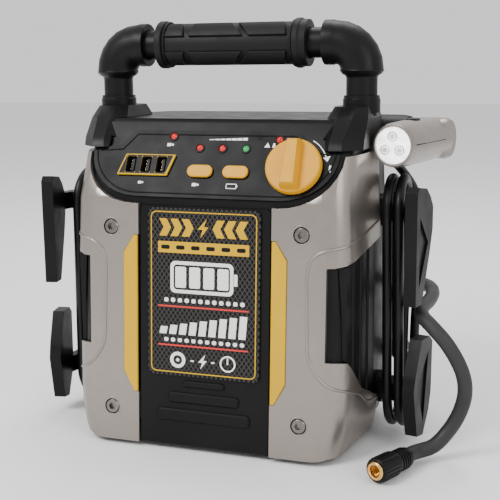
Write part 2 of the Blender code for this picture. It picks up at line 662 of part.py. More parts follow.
def build_shroud(side, label):
    """A faceted pedestal that clasps the case's top corner, with the riser's clamp ring on it."""
    sections = ((236 * MM, 25 * MM, -54 * MM, 37 * MM, 112 * MM, 13 * MM),
                (243 * MM, 24.5 * MM, -51.5 * MM, 37 * MM, 112 * MM, 13 * MM),
                (257 * MM, 20 * MM, -37 * MM, 32 * MM, 112 * MM, 10 * MM),
                (266 * MM, 16.5 * MM, -24 * MM, 24 * MM, 110 * MM, 7 * MM))
    loops = []
    for z, half, y0, y1, outer, chamfer in sections:
        x0 = HANDLE_X - half
        points = [(x0 + chamfer, y0), (outer - chamfer, y0), (outer, y0 + chamfer), (outer, y1 - chamfer),
                  (outer - chamfer, y1), (x0 + chamfer, y1), (x0, y1 - chamfer), (x0, y0 + chamfer)]
        loops.append([(side * x, y, z) for x, y in points])
    shroud = loft("riser_shroud_" + label, loops, "black_plastic")
    boolean(shroud, body_blank("cut_shroud_seat_" + label, GAP, 200 * MM, TOP_Z + GAP, crown=3 * MM))
    panel_room = slab("cut_shroud_panel_" + label, [(-98 * MM, -20 * MM), (98 * MM, -20 * MM), (98 * MM, 50 * MM),
                                                    (-98 * MM, 50 * MM)],
                      -3 * MM, 2.2 * MM + GAP * 2, matrix=panel_frame())
    boolean(shroud, panel_room)
    frame = frame_matrix((side * HANDLE_X, 0, 0), (1, 0, 0), (0, 1, 0))
    ring = turned("riser_ring_" + label, [(0, 261 * MM), (RISER_RING_R, 261 * MM), (RISER_RING_R, 271 * MM),
                                          (RISER_RING_R - 0.6 * MM, 271.6 * MM),
                                          (RISER_RING_R - 0.6 * MM, 273.6 * MM), (0, 273.6 * MM)],
                  matrix=frame, steps=28)
    boolean(shroud, ring, "UNION")
    bore = turned("cut_riser_bore_" + label, [(0, 258.6 * MM), (TUBE_R + GAP, 258.6 * MM), (TUBE_R + GAP, 290 * MM),
                                              (0, 290 * MM)], matrix=frame, steps=28)
    boolean(shroud, bore)


def torch_frame(along=0.0):
    """The torch's frame: X is its pivot axis, Z points to its lens."""
    side = Vector((math.cos(TORCH_YAW), -math.sin(TORCH_YAW), 0))
    forward = Vector((-math.sin(TORCH_YAW), -math.cos(TORCH_YAW), 0))
    origin = Vector(TORCH_PIVOT) + forward * along
    rows = Matrix((side, Vector((0, 0, 1)), side.cross(Vector((0, 0, 1))))).transposed().to_4x4()
    rows.col[2] = (*forward, 0)
    rows.col[1] = (*forward.cross(side), 0)
    return Matrix.Translation(origin) @ rows


def build_torch():
    frame = torch_frame()
    reach = TORCH_REACH
    body = turned("torch_body", [(0, 0), (TORCH_R, 0), (TORCH_R + 0.6 * MM, reach * 0.7), (TORCH_R, reach - 4 * MM),
                                 (15.6 * MM, reach), (14 * MM, reach), (14 * MM, reach - 16 * MM), (0, reach - 16 * MM)],
                  "silver_cover", frame, 32)
    drum_axis = frame @ Matrix.Rotation(math.radians(90), 4, "Y")
    drum = turned("torch_drum", [(0, -14 * MM), (14.5 * MM, -14 * MM), (TORCH_R - 0.2 * MM, -11 * MM),
                                 (TORCH_R - 0.2 * MM, 11 * MM), (14.5 * MM, 14 * MM), (0, 14 * MM)],
                  matrix=drum_axis, steps=32)
    boolean(body, drum, "UNION")
    seat = turned("cut_torch_seat", [(0, 13 * MM), (9 * MM, 13 * MM), (9 * MM, 40 * MM), (0, 40 * MM)],
                  matrix=frame @ Matrix.Rotation(math.radians(-90), 4, "Y"))
    boolean(body, seat)
    switch_frame = frame @ Matrix.Translation((0, 0, 44 * MM)) @ Matrix.Rotation(math.radians(-90), 4, "X")
    switch_frame = frame_matrix(switch_frame.translation, frame.col[2].xyz, frame.col[0].xyz)
    well = slab("cut_torch_switch_well", rounded_rect(-8 * MM, -4.6 * MM, 8 * MM, 4.6 * MM, 4.4 * MM, 4),
                TORCH_R - 2.4 * MM, TORCH_R + 6 * MM, matrix=switch_frame)
    boolean(body, well)
    slab("torch_switch", rounded_rect(-7.5 * MM, -4.1 * MM, 7.5 * MM, 4.1 * MM, 3.9 * MM, 4),
         TORCH_R - 0.9 * MM, TORCH_R + 1.5 * MM, "black_plastic", switch_frame, 0.6 * MM, 1)
    turned("torch_lens", [(0, reach - 2.6 * MM), (13.6 * MM, reach - 2.6 * MM), (13.6 * MM, reach - 0.9 * MM),
                          (9 * MM, reach + 0.4 * MM), (0, reach + 1.1 * MM)], "torch_lens", frame, 32)
    pivot = turned("torch_pivot", [(0, 13.3 * MM), (8.6 * MM, 13.3 * MM), (8.6 * MM, 17.4 * MM), (14 * MM, 18 * MM),
                                   (17 * MM, 20 * MM), (18 * MM, 25 * MM), (18 * MM, 54 * MM), (0, 54 * MM)],
                   "black_plastic", frame @ Matrix.Rotation(math.radians(-90), 4, "Y"), 32)
    boolean(pivot, body_blank("cut_pivot_case", GAP, 190 * MM, TOP_Z + GAP, crown=3 * MM))


def cleat_outline(low):
    """Side view of a keeper plate: straight front edge, peaked back edge."""
    if low:
        points = [(-50, 0), (-42, -36), (-30, -38), (-19, -21), (-15, -7), (-14, 32), (-20, 37), (-36, 37), (-47, 12)]
    else:
        points = [(-50, -43), (-38, -43), (-24, -6), (-19, 11), (-19, 27), (-24, 35), (-32, 42), (-46, 44), (-50, 40)]
    return [(y * MM, z * MM) for y, z in points]


def build_cleat(side, label, low):
    """A cable cleat: a pad on the case, an arm the cable winds round, and a keeper plate."""
    web_z = CLEAT_LOW_Z if low else CLEAT_TOP_Z
    plate_z = 58 * MM if low else 166 * MM
    name = "cable_cleat_%s_%s" % ("lower" if low else "upper", label)
    arm_plan = [(105, -1), (124, -1), (130, -3), (147.5, -3), (149.5, -14), (148, -24), (152, -26), (156, -10),
                (155, 8), (148, 19), (105, 19)]
    arm_plan = [(side * x * MM, y * MM) for x, y in arm_plan]
    straight = frame_matrix((0, CLEAT_Y, 0), (0, side, 0), (0, 0, 1))
    low_y, high_y = sorted((side * -9 * MM, side * 14 * MM))
    arm = slab("arm_" + name, arm_plan, web_z - 7 * MM, web_z + 7 * MM)
    pad = slab("pad_" + name, rounded_rect(low_y, web_z - 12.2 * MM, high_y, web_z + 12.2 * MM, 8 * MM, 2),
               CLEAT_INNER_X - 8 * MM, CLEAT_INNER_X + 5 * MM, matrix=straight)
    boolean(arm, pad, "UNION")
    boolean(arm, body_blank("cut_seat_" + name, GAP, 20 * MM, 230 * MM))
    drop = (0, CLEAT_Y + CLEAT_PLATE_X * math.sin(CLEAT_YAW), 0)
    yz = frame_matrix(drop, (math.sin(CLEAT_YAW), side * math.cos(CLEAT_YAW), 0), (0, 0, 1))
    outline = [(side * y, z + plate_z) for y, z in cleat_outline(low)]
    plate = slab(name, outline, CLEAT_PLATE_X, CLEAT_PLATE_X + CLEAT_PLATE_T, "black_plastic", yz)
    recess = [(-44 * MM, 22 * MM), (-28 * MM, 2 * MM), (-44 * MM, -30 * MM)]
    if low:
        recess = [(-22 * MM, 26 * MM), (-43 * MM, 2 * MM), (-30 * MM, -28 * MM)]
    cut = slab("cut_recess_" + name, [(side * y, z + plate_z) for y, z in recess],
               CLEAT_PLATE_X + CLEAT_PLATE_T - 1.6 * MM, CLEAT_PLATE_X + 30 * MM, matrix=yz)
    boolean(plate, cut)
    boolean(plate, arm, "UNION")


def cable_route(side):
    """From the case's side, two turns round the cleat bridges, then back to the clamp."""
    x_first = 123 * MM
    pitch = 8.8 * MM
    radius = CABLE_LOOP_R
    route = [(GLAND_X, GLAND_Y, GLAND_Z), (GLAND_X, GLAND_Y - 17 * MM, GLAND_Z),
             (x_first, 42 * MM, GLAND_Z + 8 * MM), (x_first, 39 * MM, GLAND_Z + 26 * MM)]
    turn = [(CLEAT_Y + radius * math.cos(a), CLEAT_TOP_Z + radius * math.sin(a))
            for a in [math.radians(15 + 30 * k) for k in range(6)]]
    front = [(CLEAT_Y - radius, CLEAT_TOP_Z - 22 * MM - 27 * MM * k) for k in range(5)]
    under = [(CLEAT_Y + radius * math.cos(a), CLEAT_LOW_Z + radius * math.sin(a))
             for a in [math.radians(195 + 30 * k) for k in range(6)]]
    back = [(CLEAT_Y + radius, CLEAT_LOW_Z + 22 * MM + 27 * MM * k) for k in range(5)]
    loop = turn + front + under + back
    total = len(loop)
    for k in range(2 * total - 3):
        y, z = loop[k % total]
        if k == 0:
            route += [(x_first, CLEAT_Y + radius, 130 * MM), (x_first, CLEAT_Y + radius, 165 * MM)]
        route.append((x_first + pitch * k / total, y, z))
    route += [(x_first + pitch * 1.9, 47 * MM, 156 * MM), (x_first + 13 * MM, 62 * MM, 176 * MM),
              (x_first + 5 * MM, 80 * MM, 194 * MM), (x_first - 12 * MM, 95 * MM, 212 * MM),
              (94 * MM, 100 * MM, 226 * MM), (82 * MM, CLAMP_Y + 2 * MM, 233 * MM),
              (CLAMP_X, CLAMP_Y + 2 * MM, 228 * MM)]
    return [(side * x, y, z) for x, y, z in route]


def build_cords():
    for side, label in ((-1, "left"), (1, "right")):
        cord_tube("booster_cable_" + label, cable_route(side), CABLE_D, "cable_rubber", 15 * MM)
        place = frame_matrix((side * GLAND_X, GLAND_Y + GAP, GLAND_Z), (0, 0, 1), (1, 0, 0))
        gland_profile = [(0, 0), (5.2 * MM, 0), (6.4 * MM, 10 * MM), (6.4 * MM, 13 * MM), (0, 13 * MM)]
        gland = turned("cable_gland_" + label, gland_profile, "black_plastic", place, 16)
        foot = box("gland_foot_" + label, (min(side * 100 * MM, side * 118 * MM), GLAND_Y + 3 * MM, GLAND_Z - 6 * MM),
                   (max(side * 100 * MM, side * 118 * MM), GLAND_Y + 12 * MM, GLAND_Z + 6 * MM))
        boolean(gland, foot, "UNION")
        boolean(gland, body_blank("cut_gland_case_" + label, GAP, 20 * MM, 200 * MM))
    cord_tube("air_hose", HOSE_ROUTE, HOSE_D, "hose_rubber", HOSE_STEP)
    box("hose_gland", (14.5 * MM, SHELL_BACK_Y + GAP, 34 * MM), (32 * MM, 105 * MM, 50 * MM), "black_plastic",
        bevel=2 * MM)
    end = Vector(HOSE_ROUTE[-1])
    nozzle_aim = (end - smooth_route(HOSE_ROUTE, HOSE_STEP)[-2]).normalized()
    side_axis = nozzle_aim.cross(Vector((0, 0, 1))).normalized()
    up_axis = side_axis.cross(nozzle_aim)
    frame = frame_matrix(end + nozzle_aim * GAP * 1.5, side_axis, -up_axis)
    if (frame.col[2].xyz - nozzle_aim).length > 0.1:
        frame = frame_matrix(end + nozzle_aim * GAP * 1.5, -side_axis, -up_axis)
    turned("hose_sleeve", [(0, 0), (7.2 * MM, 0), (7.6 * MM, 3 * MM), (7.6 * MM, 15 * MM), (0, 15 * MM)],
           "black_plastic", frame, 24)
    turned("hose_collar", [(0, 15.3 * MM), (8.2 * MM, 15.3 * MM), (8.8 * MM, 17 * MM), (8.8 * MM, 36 * MM),
                           (7.8 * MM, 37 * MM), (7 * MM, 37 * MM), (7 * MM, 27 * MM), (0, 27 * MM)],
           "black_plastic", frame, 24)
    turned("hose_valve_nut", [(6.7 * MM, 27.3 * MM), (6.7 * MM, 37.6 * MM), (5.9 * MM, 38.4 * MM),
                              (4.6 * MM, 38.4 * MM), (3.9 * MM, 37.2 * MM), (3.9 * MM, 27.3 * MM)],
           "brass", frame, 24)


def build_clamps():
    for side, label in ((-1, "left"), (1, "right")):
        frame = frame_matrix((side * CLAMP_X, CLAMP_Y, CLAMP_Z), (-1, 0, 0), (0, 0, 1))
        fixed = slab("clamp_%s_fixed_lever" % label, clamp_half(1), -6 * MM, 6 * MM, "black_plastic", frame)
        pin = turned("pin_" + label, [(0, -7.5 * MM), (2.4 * MM, -7.5 * MM), (2.4 * MM, 7.5 * MM), (0, 7.5 * MM)],
                     matrix=frame, steps=16)
        boolean(fixed, pin, "UNION")
        moving = slab("clamp_%s_moving_lever" % label, clamp_half(-1), -6 * MM, 6 * MM, "black_plastic", frame)
        hole = turned("cut_pin_hole_" + label, [(0, -9 * MM), (2.7 * MM, -9 * MM), (2.7 * MM, 9 * MM), (0, 9 * MM)],
                      matrix=frame, steps=16)
        boolean(moving, hole)


def clamp_half(sign):
    inner = 0.4 if sign > 0 else 0.2
    pts = [(inner, -44), (3.5, -46), (10, -28), (9, -8), (6, 6), (9, 14), (17, 34), (14.5, 36), (10, 33),
           (4.5, 17), (2.8, 9), (inner, 1)]
    return [(sign * x * MM, z * MM) for x, z in pts]


def build_rear():
    hub = rear_frame(0, GAUGE_Z)
    turned("gauge_case", [(0, GAP), (GAUGE_R, GAP), (GAUGE_R, 8 * MM), (GAUGE_R - 1.5 * MM, 9 * MM),
                          (GAUGE_R - 3 * MM, 9 * MM), (GAUGE_R - 3 * MM, 5 * MM), (2.2 * MM, 5 * MM),
                          (2.2 * MM, 6 * MM), (0, 6 * MM)], "dial_face", hub, 32)
    needle = [(-1.6 * MM, -4 * MM), (1.6 * MM, -4 * MM), (0.4 * MM, 16 * MM), (-0.4 * MM, 16 * MM)]
    turn = hub @ Matrix.Rotation(math.radians(130), 4, "Z")
    slab("gauge_needle", needle, 6.4 * MM, 7.3 * MM, "red_lens", turn)
    frame = rear_frame(ROCKER_X, ROCKER_Z)
    switch_frame = box("compressor_switch_frame", (-11.5 * MM, -8 * MM, GAP), (11.5 * MM, 8 * MM, 3 * MM),
                       "black_plastic", frame)
    switch_room = box("cut_switch_room", (-9.1 * MM, -5.7 * MM, -2 * MM), (9.1 * MM, 5.7 * MM, 9 * MM), matrix=frame)
    boolean(switch_frame, switch_room)
    rocker = [(-8.4 * MM, 1.9 * MM), (0, 1.4 * MM), (8.4 * MM, 1.9 * MM), (8.4 * MM, 4.6 * MM), (0, 3.4 * MM),
              (-8.4 * MM, 4.6 * MM)]
    tipper = slab("compressor_rocker", rocker, -5 * MM, 5 * MM, "amber_button",
                  frame_matrix(frame.translation, (-1, 0, 0), (0, 1, 0)))
    set_origin(tipper, (ROCKER_X, ROCKER_AXIS_Y, ROCKER_Z))
    cap_frame = rear_frame(SOCKET_X, SOCKET_Z)
    lid = turned("socket_cap", [(0, 0.6 * MM), (CAP_R, 0.6 * MM), (CAP_R, 2.6 * MM), (CAP_R - 1 * MM, 3.4 * MM),
                                (0, 3.4 * MM)], "black_plastic", cap_frame, 28)
    set_origin(lid, (SOCKET_X, CAP_HINGE_Y, SOCKET_Z + CAP_HINGE_RISE))


def build_internals():
    box("battery", (-74 * MM, -58 * MM, 36 * MM), (74 * MM, 14 * MM, 130 * MM), "battery_case", bevel=2 * MM,
        segments=1)
    motor = frame_matrix((0, 40 * MM, 70 * MM), (0, 1, 0), (0, 0, 1))
    turned("compressor_motor", [(0, -45 * MM), (17 * MM, -45 * MM), (19 * MM, -42 * MM), (19 * MM, 20 * MM),
                                (8 * MM, 22 * MM), (8 * MM, 34 * MM), (0, 34 * MM)], "motor_steel", motor, 24)
    slab("circuit_board", [(-60 * MM, 2 * MM), (60 * MM, 2 * MM), (60 * MM, 44 * MM), (-60 * MM, 44 * MM)],
         -12 * MM, -10.4 * MM, "board_green", panel_frame())


def main():
    clear_scene()
    build_shells()
    for side, label in ((-1, "left"), (1, "right")):
        build_cover(side, label)
        build_louvre(side, label)
        for low in (False, True):
            build_cleat(side, label, low)
    build_screws()
    build_front_trim()
    build_panel()
    build_panel_parts()
    build_handle()
    build_torch()
    build_cords()
    build_clamps()
    build_rear()
    build_internals()
    for obj in bpy.data.objects:
        obj.location.z -= FLOOR_Z


main()
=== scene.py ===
import json
import math

import bmesh
import bpy
from mathutils import Matrix, Vector
from mathutils.bvhtree import BVHTree


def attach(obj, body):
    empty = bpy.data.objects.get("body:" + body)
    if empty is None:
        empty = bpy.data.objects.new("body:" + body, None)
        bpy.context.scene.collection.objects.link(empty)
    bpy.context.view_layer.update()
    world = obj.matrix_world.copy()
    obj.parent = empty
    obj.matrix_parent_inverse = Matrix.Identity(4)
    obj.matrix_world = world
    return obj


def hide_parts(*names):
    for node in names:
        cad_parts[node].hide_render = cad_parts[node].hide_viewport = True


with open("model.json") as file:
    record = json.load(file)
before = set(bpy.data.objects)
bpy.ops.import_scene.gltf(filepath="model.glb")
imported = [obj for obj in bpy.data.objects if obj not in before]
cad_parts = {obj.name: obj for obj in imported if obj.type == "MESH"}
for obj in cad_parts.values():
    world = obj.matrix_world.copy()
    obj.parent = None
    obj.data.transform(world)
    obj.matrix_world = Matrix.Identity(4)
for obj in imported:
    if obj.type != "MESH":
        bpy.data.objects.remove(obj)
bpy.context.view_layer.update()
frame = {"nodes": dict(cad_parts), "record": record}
NODES = frame["nodes"]
MM = 0.001
FLOOR_Z = 8 * MM

# Camera
YAW, PITCH, ROLL = math.radians(19.18), math.radians(10.685), math.radians(-0.58)
forward = Vector((-math.sin(YAW) * math.cos(PITCH), math.cos(YAW) * math.cos(PITCH), -math.sin(PITCH)))
level = Vector((math.cos(YAW), math.sin(YAW), 0))
above = level.cross(forward)
cam_right = math.cos(ROLL) * level + math.sin(ROLL) * above
cam_up = -math.sin(ROLL) * level + math.cos(ROLL) * above
camera = bpy.data.objects.new("camera", bpy.data.cameras.new("camera"))
bpy.context.scene.collection.objects.link(camera)
camera.data.lens = 72
camera.data.sensor_width = 36
turn = Matrix((cam_right, cam_up, -forward)).transposed().to_4x4()
CAMERA_PLACE = Vector((0.27015, -0.74551, 0.29153))
camera.matrix_world = Matrix.Translation(CAMERA_PLACE) @ turn
bpy.context.scene.camera = camera


# Materials
def new_material(name):
    mat = bpy.data.materials.new(name)
    mat.use_nodes = True
    return mat, mat.node_tree.nodes, mat.node_tree.links, mat.node_tree.nodes["Principled BSDF"]


def noise(nodes, links, scale, detail=3.0, vector=None):
    node = nodes.new("ShaderNodeTexNoise")
    node.inputs["Scale"].default_value = scale
    node.inputs["Detail"].default_value = detail
    if vector:
        links.new(vector, node.inputs["Vector"])
    return node.outputs["Fac"]


def ramp(nodes, links, source, stops):
    node = nodes.new("ShaderNodeValToRGB")
    links.new(source, node.inputs["Fac"])
    elements = node.color_ramp.elements
    for k, (place, colour) in enumerate(stops):
        element = elements[k] if k < 2 else elements.new(place)
        element.position = place
        element.color = (*colour, 1.0) if len(colour) == 3 else colour
    return node.outputs["Color"]


def grey(value):
    return (value, value, value)


def scaled(colour, factor):
    return tuple(min(1.0, c * factor) for c in colour)


def moulded(name, colour, rough, grain, bump, vary, metallic=0.0, coat=0.0, scratch=0.0, specular=0.5):
    """Moulded plastic: fine texture, soft blotches in colour and gloss, and a few scuffs."""
    mat, nodes, links, shader = new_material(name)
    place = nodes.new("ShaderNodeTexCoord").outputs["Object"]
    blotch = noise(nodes, links, 22.0, 4.0, place)
    low, high = scaled(colour, 1 - vary), scaled(colour, 1 + vary)
    links.new(ramp(nodes, links, blotch, [(0.3, low), (0.7, high)]), shader.inputs["Base Color"])
    gloss = noise(nodes, links, 60.0, 5.0, place)
    gloss = ramp(nodes, links, gloss, [(0.3, grey(rough[0])), (0.7, grey(rough[1]))])
    links.new(gloss, shader.inputs["Roughness"])
    shader.inputs["Metallic"].default_value = metallic
    shader.inputs["Specular IOR Level"].default_value = specular
    shader.inputs["Coat Weight"].default_value = coat
    texture = nodes.new("ShaderNodeBump")
    texture.inputs["Strength"].default_value = bump
    texture.inputs["Distance"].default_value = 0.0003
    links.new(noise(nodes, links, grain, 2.0, place), texture.inputs["Height"])
    last = texture
    if scratch:
        stretch = nodes.new("ShaderNodeMapping")
        stretch.inputs["Scale"].default_value = (30, 30, 900)
        stretch.inputs["Rotation"].default_value = (0.4, 0.9, 0.3)
        links.new(place, stretch.inputs["Vector"])
        scuffs = nodes.new("ShaderNodeBump")
        scuffs.inputs["Strength"].default_value = scratch
        scuffs.inputs["Distance"].default_value = 0.0002
        links.new(noise(nodes, links, 1.0, 6.0, stretch.outputs["Vector"]), scuffs.inputs["Height"])
        links.new(texture.outputs["Normal"], scuffs.inputs["Normal"])
        last = scuffs
    links.new(last.outputs["Normal"], shader.inputs["Normal"])
    return mat


def metallic_paint():
    """Champagne silver paint: fine sparkle under a satin coat."""
    mat = moulded("champagne_paint", (0.29, 0.252, 0.226), (0.28, 0.40), 2400.0, 0.10, 0.035, 0.8, 0.12)
    nodes, links = mat.node_tree.nodes, mat.node_tree.links
    shader = nodes["Principled BSDF"]
    place = nodes["Texture Coordinate"].outputs["Object"]
    flakes = nodes.new("ShaderNodeTexVoronoi")
    flakes.inputs["Scale"].default_value = 1500.0
    links.new(place, flakes.inputs["Vector"])
    sparkle = ramp(nodes, links, flakes.outputs["Distance"], [(0.0, grey(0.50)), (0.35, (0.27, 0.235, 0.21))])
    mix = nodes.new("ShaderNodeMix")
    mix.data_type = "RGBA"
    mix.inputs["Factor"].default_value = 0.5
    links.new(shader.inputs["Base Color"].links[0].from_socket, mix.inputs[6])
    links.new(sparkle, mix.inputs[7])
    links.new(mix.outputs[2], shader.inputs["Base Color"])
    return mat


def label_film():
    """Printed film: a dark grey diamond mesh on black."""
    mat, nodes, links, shader = new_material("label_film")
    place = nodes.new("ShaderNodeTexCoord").outputs["Object"]
    lines = []
    for angle in (35, -35):
        mapping = nodes.new("ShaderNodeMapping")
        mapping.inputs["Rotation"].default_value = (0, math.radians(angle), 0)
        links.new(place, mapping.inputs["Vector"])
        wave = nodes.new("ShaderNodeTexWave")
        wave.bands_direction = "X"
        wave.inputs["Scale"].default_value = 105.0
        links.new(mapping.outputs["Vector"], wave.inputs["Vector"])
        lines.append(wave.outputs["Fac"])
    top = nodes.new("ShaderNodeMath")
    top.operation = "MAXIMUM"
    links.new(lines[0], top.inputs[0])
    links.new(lines[1], top.inputs[1])
    mesh = ramp(nodes, links, top.outputs[0], [(0.80, grey(0.004)), (0.93, (0.045, 0.041, 0.039))])
    links.new(mesh, shader.inputs["Base Color"])
    gloss = ramp(nodes, links, noise(nodes, links, 40.0, 4.0, place), [(0.3, grey(0.3)), (0.7, grey(0.42))])
    links.new(gloss, shader.inputs["Roughness"])
    shader.inputs["Specular IOR Level"].default_value = 0.15
    return mat


def glowing(name, colour, strength):
    """A lit lens with small facets behind it."""
    mat, nodes, links, shader = new_material(name)
    place = nodes.new("ShaderNodeTexCoord").outputs["Object"]
    facets = nodes.new("ShaderNodeTexVoronoi")
    facets.inputs["Scale"].default_value = 260.0
    links.new(place, facets.inputs["Vector"])
    tint = ramp(nodes, links, facets.outputs["Distance"], [(0.0, colour), (0.9, scaled(colour, 0.62))])
    links.new(tint, shader.inputs["Base Color"])
    links.new(tint, shader.inputs["Emission Color"])
    shader.inputs["Emission Strength"].default_value = strength
    shader.inputs["Roughness"].default_value = 0.12
    return mat


def brushed(name, colour, rough):
    """Bare metal with fine lines."""
    return moulded(name, colour, (rough, rough + 0.14), 1500.0, 0.12, 0.10, 1.0, scratch=0.25)


BLACK = moulded("black_plastic", (0.004, 0.004, 0.0045), (0.32, 0.46), 1400.0, 0.16, 0.25, scratch=0.06,
                specular=0.16)
PANEL = moulded("panel_plastic", (0.0035, 0.0035, 0.004), (0.28, 0.38), 2200.0, 0.07, 0.2, specular=0.08)
SILVER = metallic_paint()
YELLOW = moulded("yellow_plastic", (0.58, 0.34, 0.0), (0.36, 0.48), 1500.0, 0.08, 0.05, specular=0.25)
AMBER = moulded("amber_button", (0.64, 0.30, 0.0), (0.36, 0.48), 1500.0, 0.08, 0.06, specular=0.25)
GRIP = moulded("grip_rubber", (0.007, 0.007, 0.0075), (0.44, 0.6), 1600.0, 0.30, 0.25, specular=0.18)
FILM = label_film()
STEEL = brushed("steel_screw", (0.19, 0.17, 0.155), 0.2)
CABLE = moulded("cable_rubber", (0.005, 0.005, 0.0055), (0.28, 0.42), 700.0, 0.10, 0.2, specular=0.25)
HOSE = moulded("hose_rubber", (0.022, 0.021, 0.021), (0.50, 0.64), 900.0, 0.25, 0.16, specular=0.35)
BRASS = brushed("brass", (0.72, 0.44, 0.15), 0.22)
COPPER = brushed("copper", (0.72, 0.36, 0.20), 0.25)
RED = glowing("red_lens", (0.62, 0.012, 0.012), 0.25)
GREEN = glowing("green_lens", (0.02, 0.34, 0.09), 0.25)
GLOW = glowing("torch_lens", (1.0, 1.0, 1.0), 3.2)
DIAL = moulded("dial_face", (0.78, 0.78, 0.74), (0.35, 0.45), 900.0, 0.04, 0.03)
CASING = moulded("battery_case", (0.05, 0.055, 0.065), (0.4, 0.5), 800.0, 0.1, 0.1)
MOTOR = brushed("motor_steel", (0.4, 0.4, 0.42), 0.3)
BOARD = moulded("board_green", (0.012, 0.13, 0.04), (0.3, 0.45), 300.0, 0.2, 0.15)
WHITE_INK = moulded("white_ink", (0.82, 0.82, 0.80), (0.4, 0.5), 900.0, 0.03, 0.03)
RED_INK = moulded("red_ink", (0.60, 0.02, 0.015), (0.4, 0.5), 900.0, 0.03, 0.06)
YELLOW_INK = moulded("yellow_ink", (0.58, 0.34, 0.0), (0.38, 0.48), 900.0, 0.03, 0.04, specular=0.25)
HOLE = moulded("dark_recess", (0.003, 0.003, 0.003), (0.6, 0.7), 900.0, 0.05, 0.1, specular=0.2)
FINISH = {"black_plastic": BLACK, "panel_plastic": PANEL, "silver_cover": SILVER, "yellow_plastic": YELLOW,
          "amber_button": AMBER, "grip_rubber": GRIP, "label_film": FILM, "steel_screw": STEEL,
          "cable_rubber": CABLE, "hose_rubber": HOSE, "brass": BRASS, "red_lens": RED, "green_lens": GREEN,
          "torch_lens": GLOW, "dial_face": DIAL, "battery_case": CASING, "motor_steel": MOTOR,
          "board_green": BOARD}


# Cords
def smooth_route(points, spacing):
    """Even points along a centripetal Catmull-Rom curve through a route's own points."""
    pts = [Vector(p) for p in points]
    pts = [2 * pts[0] - pts[1]] + pts + [2 * pts[-1] - pts[-2]]
    dense = []
    for p0, p1, p2, p3 in zip(pts, pts[1:], pts[2:], pts[3:]):
        t1 = (p1 - p0).length ** 0.5
        t2 = t1 + (p2 - p1).length ** 0.5
        t3 = t2 + (p3 - p2).length ** 0.5
        for k in range(16):
            t = t1 + (t2 - t1) * k / 16
            a1 = p0.lerp(p1, t / t1)
            a2 = p1.lerp(p2, (t - t1) / (t2 - t1))
            a3 = p2.lerp(p3, (t - t2) / (t3 - t2))
            b1 = a1.lerp(a2, t / t2)
            b2 = a2.lerp(a3, (t - t1) / (t3 - t1))
            dense.append(b1.lerp(b2, (t - t1) / (t2 - t1)))
    dense.append(pts[-2])
    lengths = [0.0]
    for a, b in zip(dense, dense[1:]):
        lengths.append(lengths[-1] + (b - a).length)
    count = max(2, round(lengths[-1] / spacing))
    result = []
    i = 0
    for k in range(count + 1):
        target = lengths[-1] * k / count
        while i < len(dense) - 2 and lengths[i + 1] < target:
            i += 1
        span = lengths[i + 1] - lengths[i]
        result.append(dense[i].lerp(dense[i + 1], (target - lengths[i]) / span))
    return result


def tube(name, points, radius, mat, body="case", closed=False, resolution=4):
    """A round tube through points, riding on a body."""
    curve = bpy.data.curves.new(name, "CURVE")
    curve.dimensions = "3D"
    curve.bevel_depth = radius
    curve.bevel_resolution = resolution
    curve.use_fill_caps = True
    spline = curve.splines.new("POLY")
    spline.points.add(len(points) - 1)
    for target, point in zip(spline.points, points):
        target.co = (*point, 1.0)
    spline.use_cyclic_u = closed
    spline.use_smooth = True
    curve.materials.append(mat)
    obj = bpy.data.objects.new(name, curve)
    bpy.context.scene.collection.objects.link(obj)
    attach(obj, body)
    return obj


CLEAT_Y, CLEAT_TOP_Z, CLEAT_LOW_Z, LOOP_R = 8 * MM, 186 * MM, 44 * MM, 25 * MM
GLAND = (121 * MM, 65 * MM, 60 * MM)
CLAMP_X, CLAMP_Y, CLAMP_Z = 74 * MM, 99 * MM, 178 * MM


def cable_route(side):
    """From the case's side, two turns round the cleat bridges, then back to the clamp."""
    x_first = 123 * MM
    pitch = 8.8 * MM
    route = [GLAND, (GLAND[0], GLAND[1] - 17 * MM, GLAND[2]),
             (x_first, 42 * MM, GLAND[2] + 8 * MM), (x_first, 39 * MM, GLAND[2] + 26 * MM)]
    arc = [(CLEAT_Y + LOOP_R * math.cos(a), CLEAT_TOP_Z + LOOP_R * math.sin(a))
           for a in [math.radians(15 + 30 * k) for k in range(6)]]
    front = [(CLEAT_Y - LOOP_R, CLEAT_TOP_Z - 22 * MM - 27 * MM * k) for k in range(5)]
    under = [(CLEAT_Y + LOOP_R * math.cos(a), CLEAT_LOW_Z + LOOP_R * math.sin(a))
             for a in [math.radians(195 + 30 * k) for k in range(6)]]
    back = [(CLEAT_Y + LOOP_R, CLEAT_LOW_Z + 22 * MM + 27 * MM * k) for k in range(5)]
    loop = arc + front + under + back
    total = len(loop)
    for k in range(2 * total - 3):
        y, z = loop[k % total]
        if k == 0:
            route += [(x_first, CLEAT_Y + LOOP_R, 130 * MM), (x_first, CLEAT_Y + LOOP_R, 165 * MM)]
        route.append((x_first + pitch * k / total, y, z))
    route += [(x_first + pitch * 1.9, 47 * MM, 156 * MM), (x_first + 13 * MM, 62 * MM, 176 * MM),
              (x_first + 5 * MM, 80 * MM, 194 * MM), (x_first - 12 * MM, 95 * MM, 212 * MM),
              (94 * MM, 100 * MM, 226 * MM), (82 * MM, CLAMP_Y + 2 * MM, 233 * MM),
              (CLAMP_X, CLAMP_Y + 2 * MM, 228 * MM)]
    return [(side * x, y, z - FLOOR_Z) for x, y, z in route]


